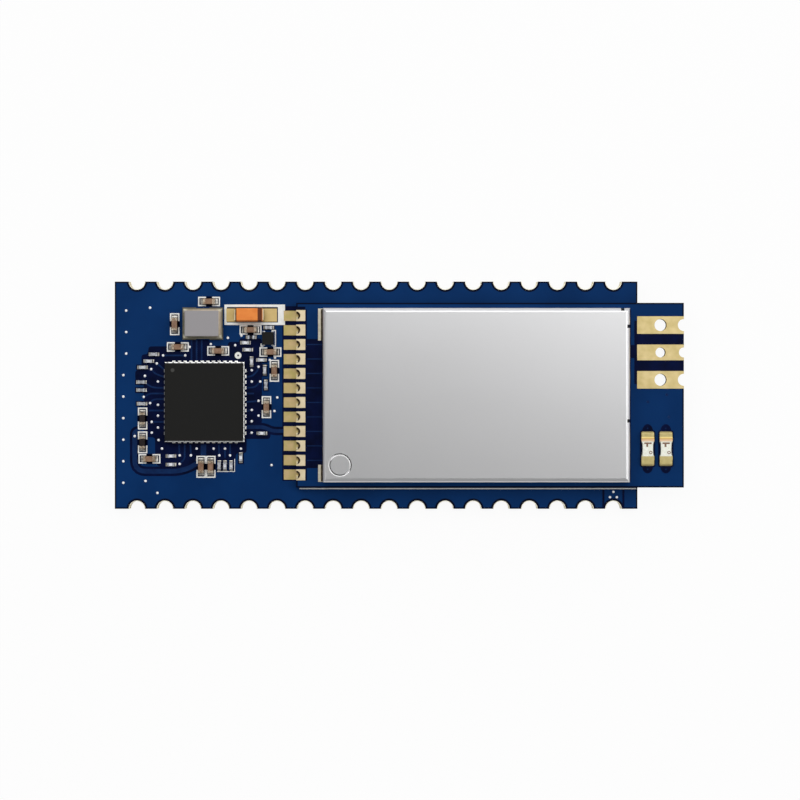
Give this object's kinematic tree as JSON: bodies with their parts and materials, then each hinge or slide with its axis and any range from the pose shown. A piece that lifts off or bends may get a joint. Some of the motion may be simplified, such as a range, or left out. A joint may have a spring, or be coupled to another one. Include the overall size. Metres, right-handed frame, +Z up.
{
  "type": "ultra-wideband positioning module",
  "caption": "Ultra-wideband positioning module: radio board under a folded shield can, soldered by its edge contacts on a carrier board with a processor and half-hole edges.",
  "frame": {"origin": "middle of the carrier board's underside", "axes": "+Z up through the boards to the shield can, +X along the carrier board towards the antenna contacts, +Y across the boards"},
  "size_m": [0.05, 0.02, 0.0044],
  "materials": {
    "board_laminate": "satin blue solder mask over glass and epoxy laminate",
    "gold_plating": "thin gold plating over copper",
    "tin_plating": "matt tin plating",
    "solder": "bright reflowed solder",
    "moulding_black": "fine matt moulding compound",
    "ferrite_dark": "dark sintered ferrite",
    "capacitor_ceramic": "brown sintered ceramic",
    "resistor_ceramic": "pale ceramic under a thin glaze",
    "package_ceramic": "white sintered ceramic",
    "lid_metal": "satin rolled metal",
    "tantalum_moulding": "smooth orange moulding",
    "shield_sheet": "satin tin-plated steel sheet",
    "diode_plate": "white glass and epoxy plate",
    "diode_resin": "clear cast resin over a white plate",
    "marking_ink": "thin white screen-printed ink"
  },
  "bodies": {
    "root": {"carrier_board": "board_laminate", "rf_board": "board_laminate", "carrier_edge_contacts": "gold_plating", "landing_lands": "gold_plating", "mcu_lands": "gold_plating", "crystal_lands": "gold_plating", "crystal_terminals": "gold_plating", "crystal_seal_ring": "gold_plating", "tantalum_lands": "gold_plating", "regulator_lands": "gold_plating", "rf_edge_contacts": "gold_plating", "antenna_ground_contacts": "gold_plating", "antenna_signal_contact": "gold_plating", "led_lands": "gold_plating", "led_ends": "gold_plating", "radio_lands": "gold_plating", "oscillator_terminals": "gold_plating", "carrier_vias": "tin_plating", "chip_lands": "tin_plating", "mcu_leads": "tin_plating", "tantalum_leads": "tin_plating", "regulator_leads": "tin_plating", "capacitor_ends": "tin_plating", "ferrite_ends": "tin_plating", "resistor_ends": "tin_plating", "transceiver_leads": "tin_plating", "radio_chip_leads": "tin_plating", "filter_ends": "tin_plating", "radio_capacitor_ends": "tin_plating", "shield_ground_lands": "tin_plating", "mcu_solder_fillets": "solder", "chip_solder_fillets": "solder", "module_solder_fillets": "solder", "mcu_body": "moulding_black", "regulator_body": "moulding_black", "transceiver_body": "moulding_black", "transmit_amplifier": "moulding_black", "receive_amplifier": "moulding_black", "antenna_switches": "moulding_black", "ferrite_bodies": "ferrite_dark", "capacitor_bodies": "capacitor_ceramic", "radio_capacitor_bodies": "capacitor_ceramic", "resistor_bodies": "resistor_ceramic", "crystal_base": "package_ceramic", "oscillator_base": "package_ceramic", "band_filter": "package_ceramic", "balun": "package_ceramic", "crystal_lid": "lid_metal", "oscillator_lid": "lid_metal", "tantalum_body": "tantalum_moulding", "shield_can": "shield_sheet", "led_bases": "diode_plate", "led_lenses": "diode_resin"}
  },
  "joints": []
}
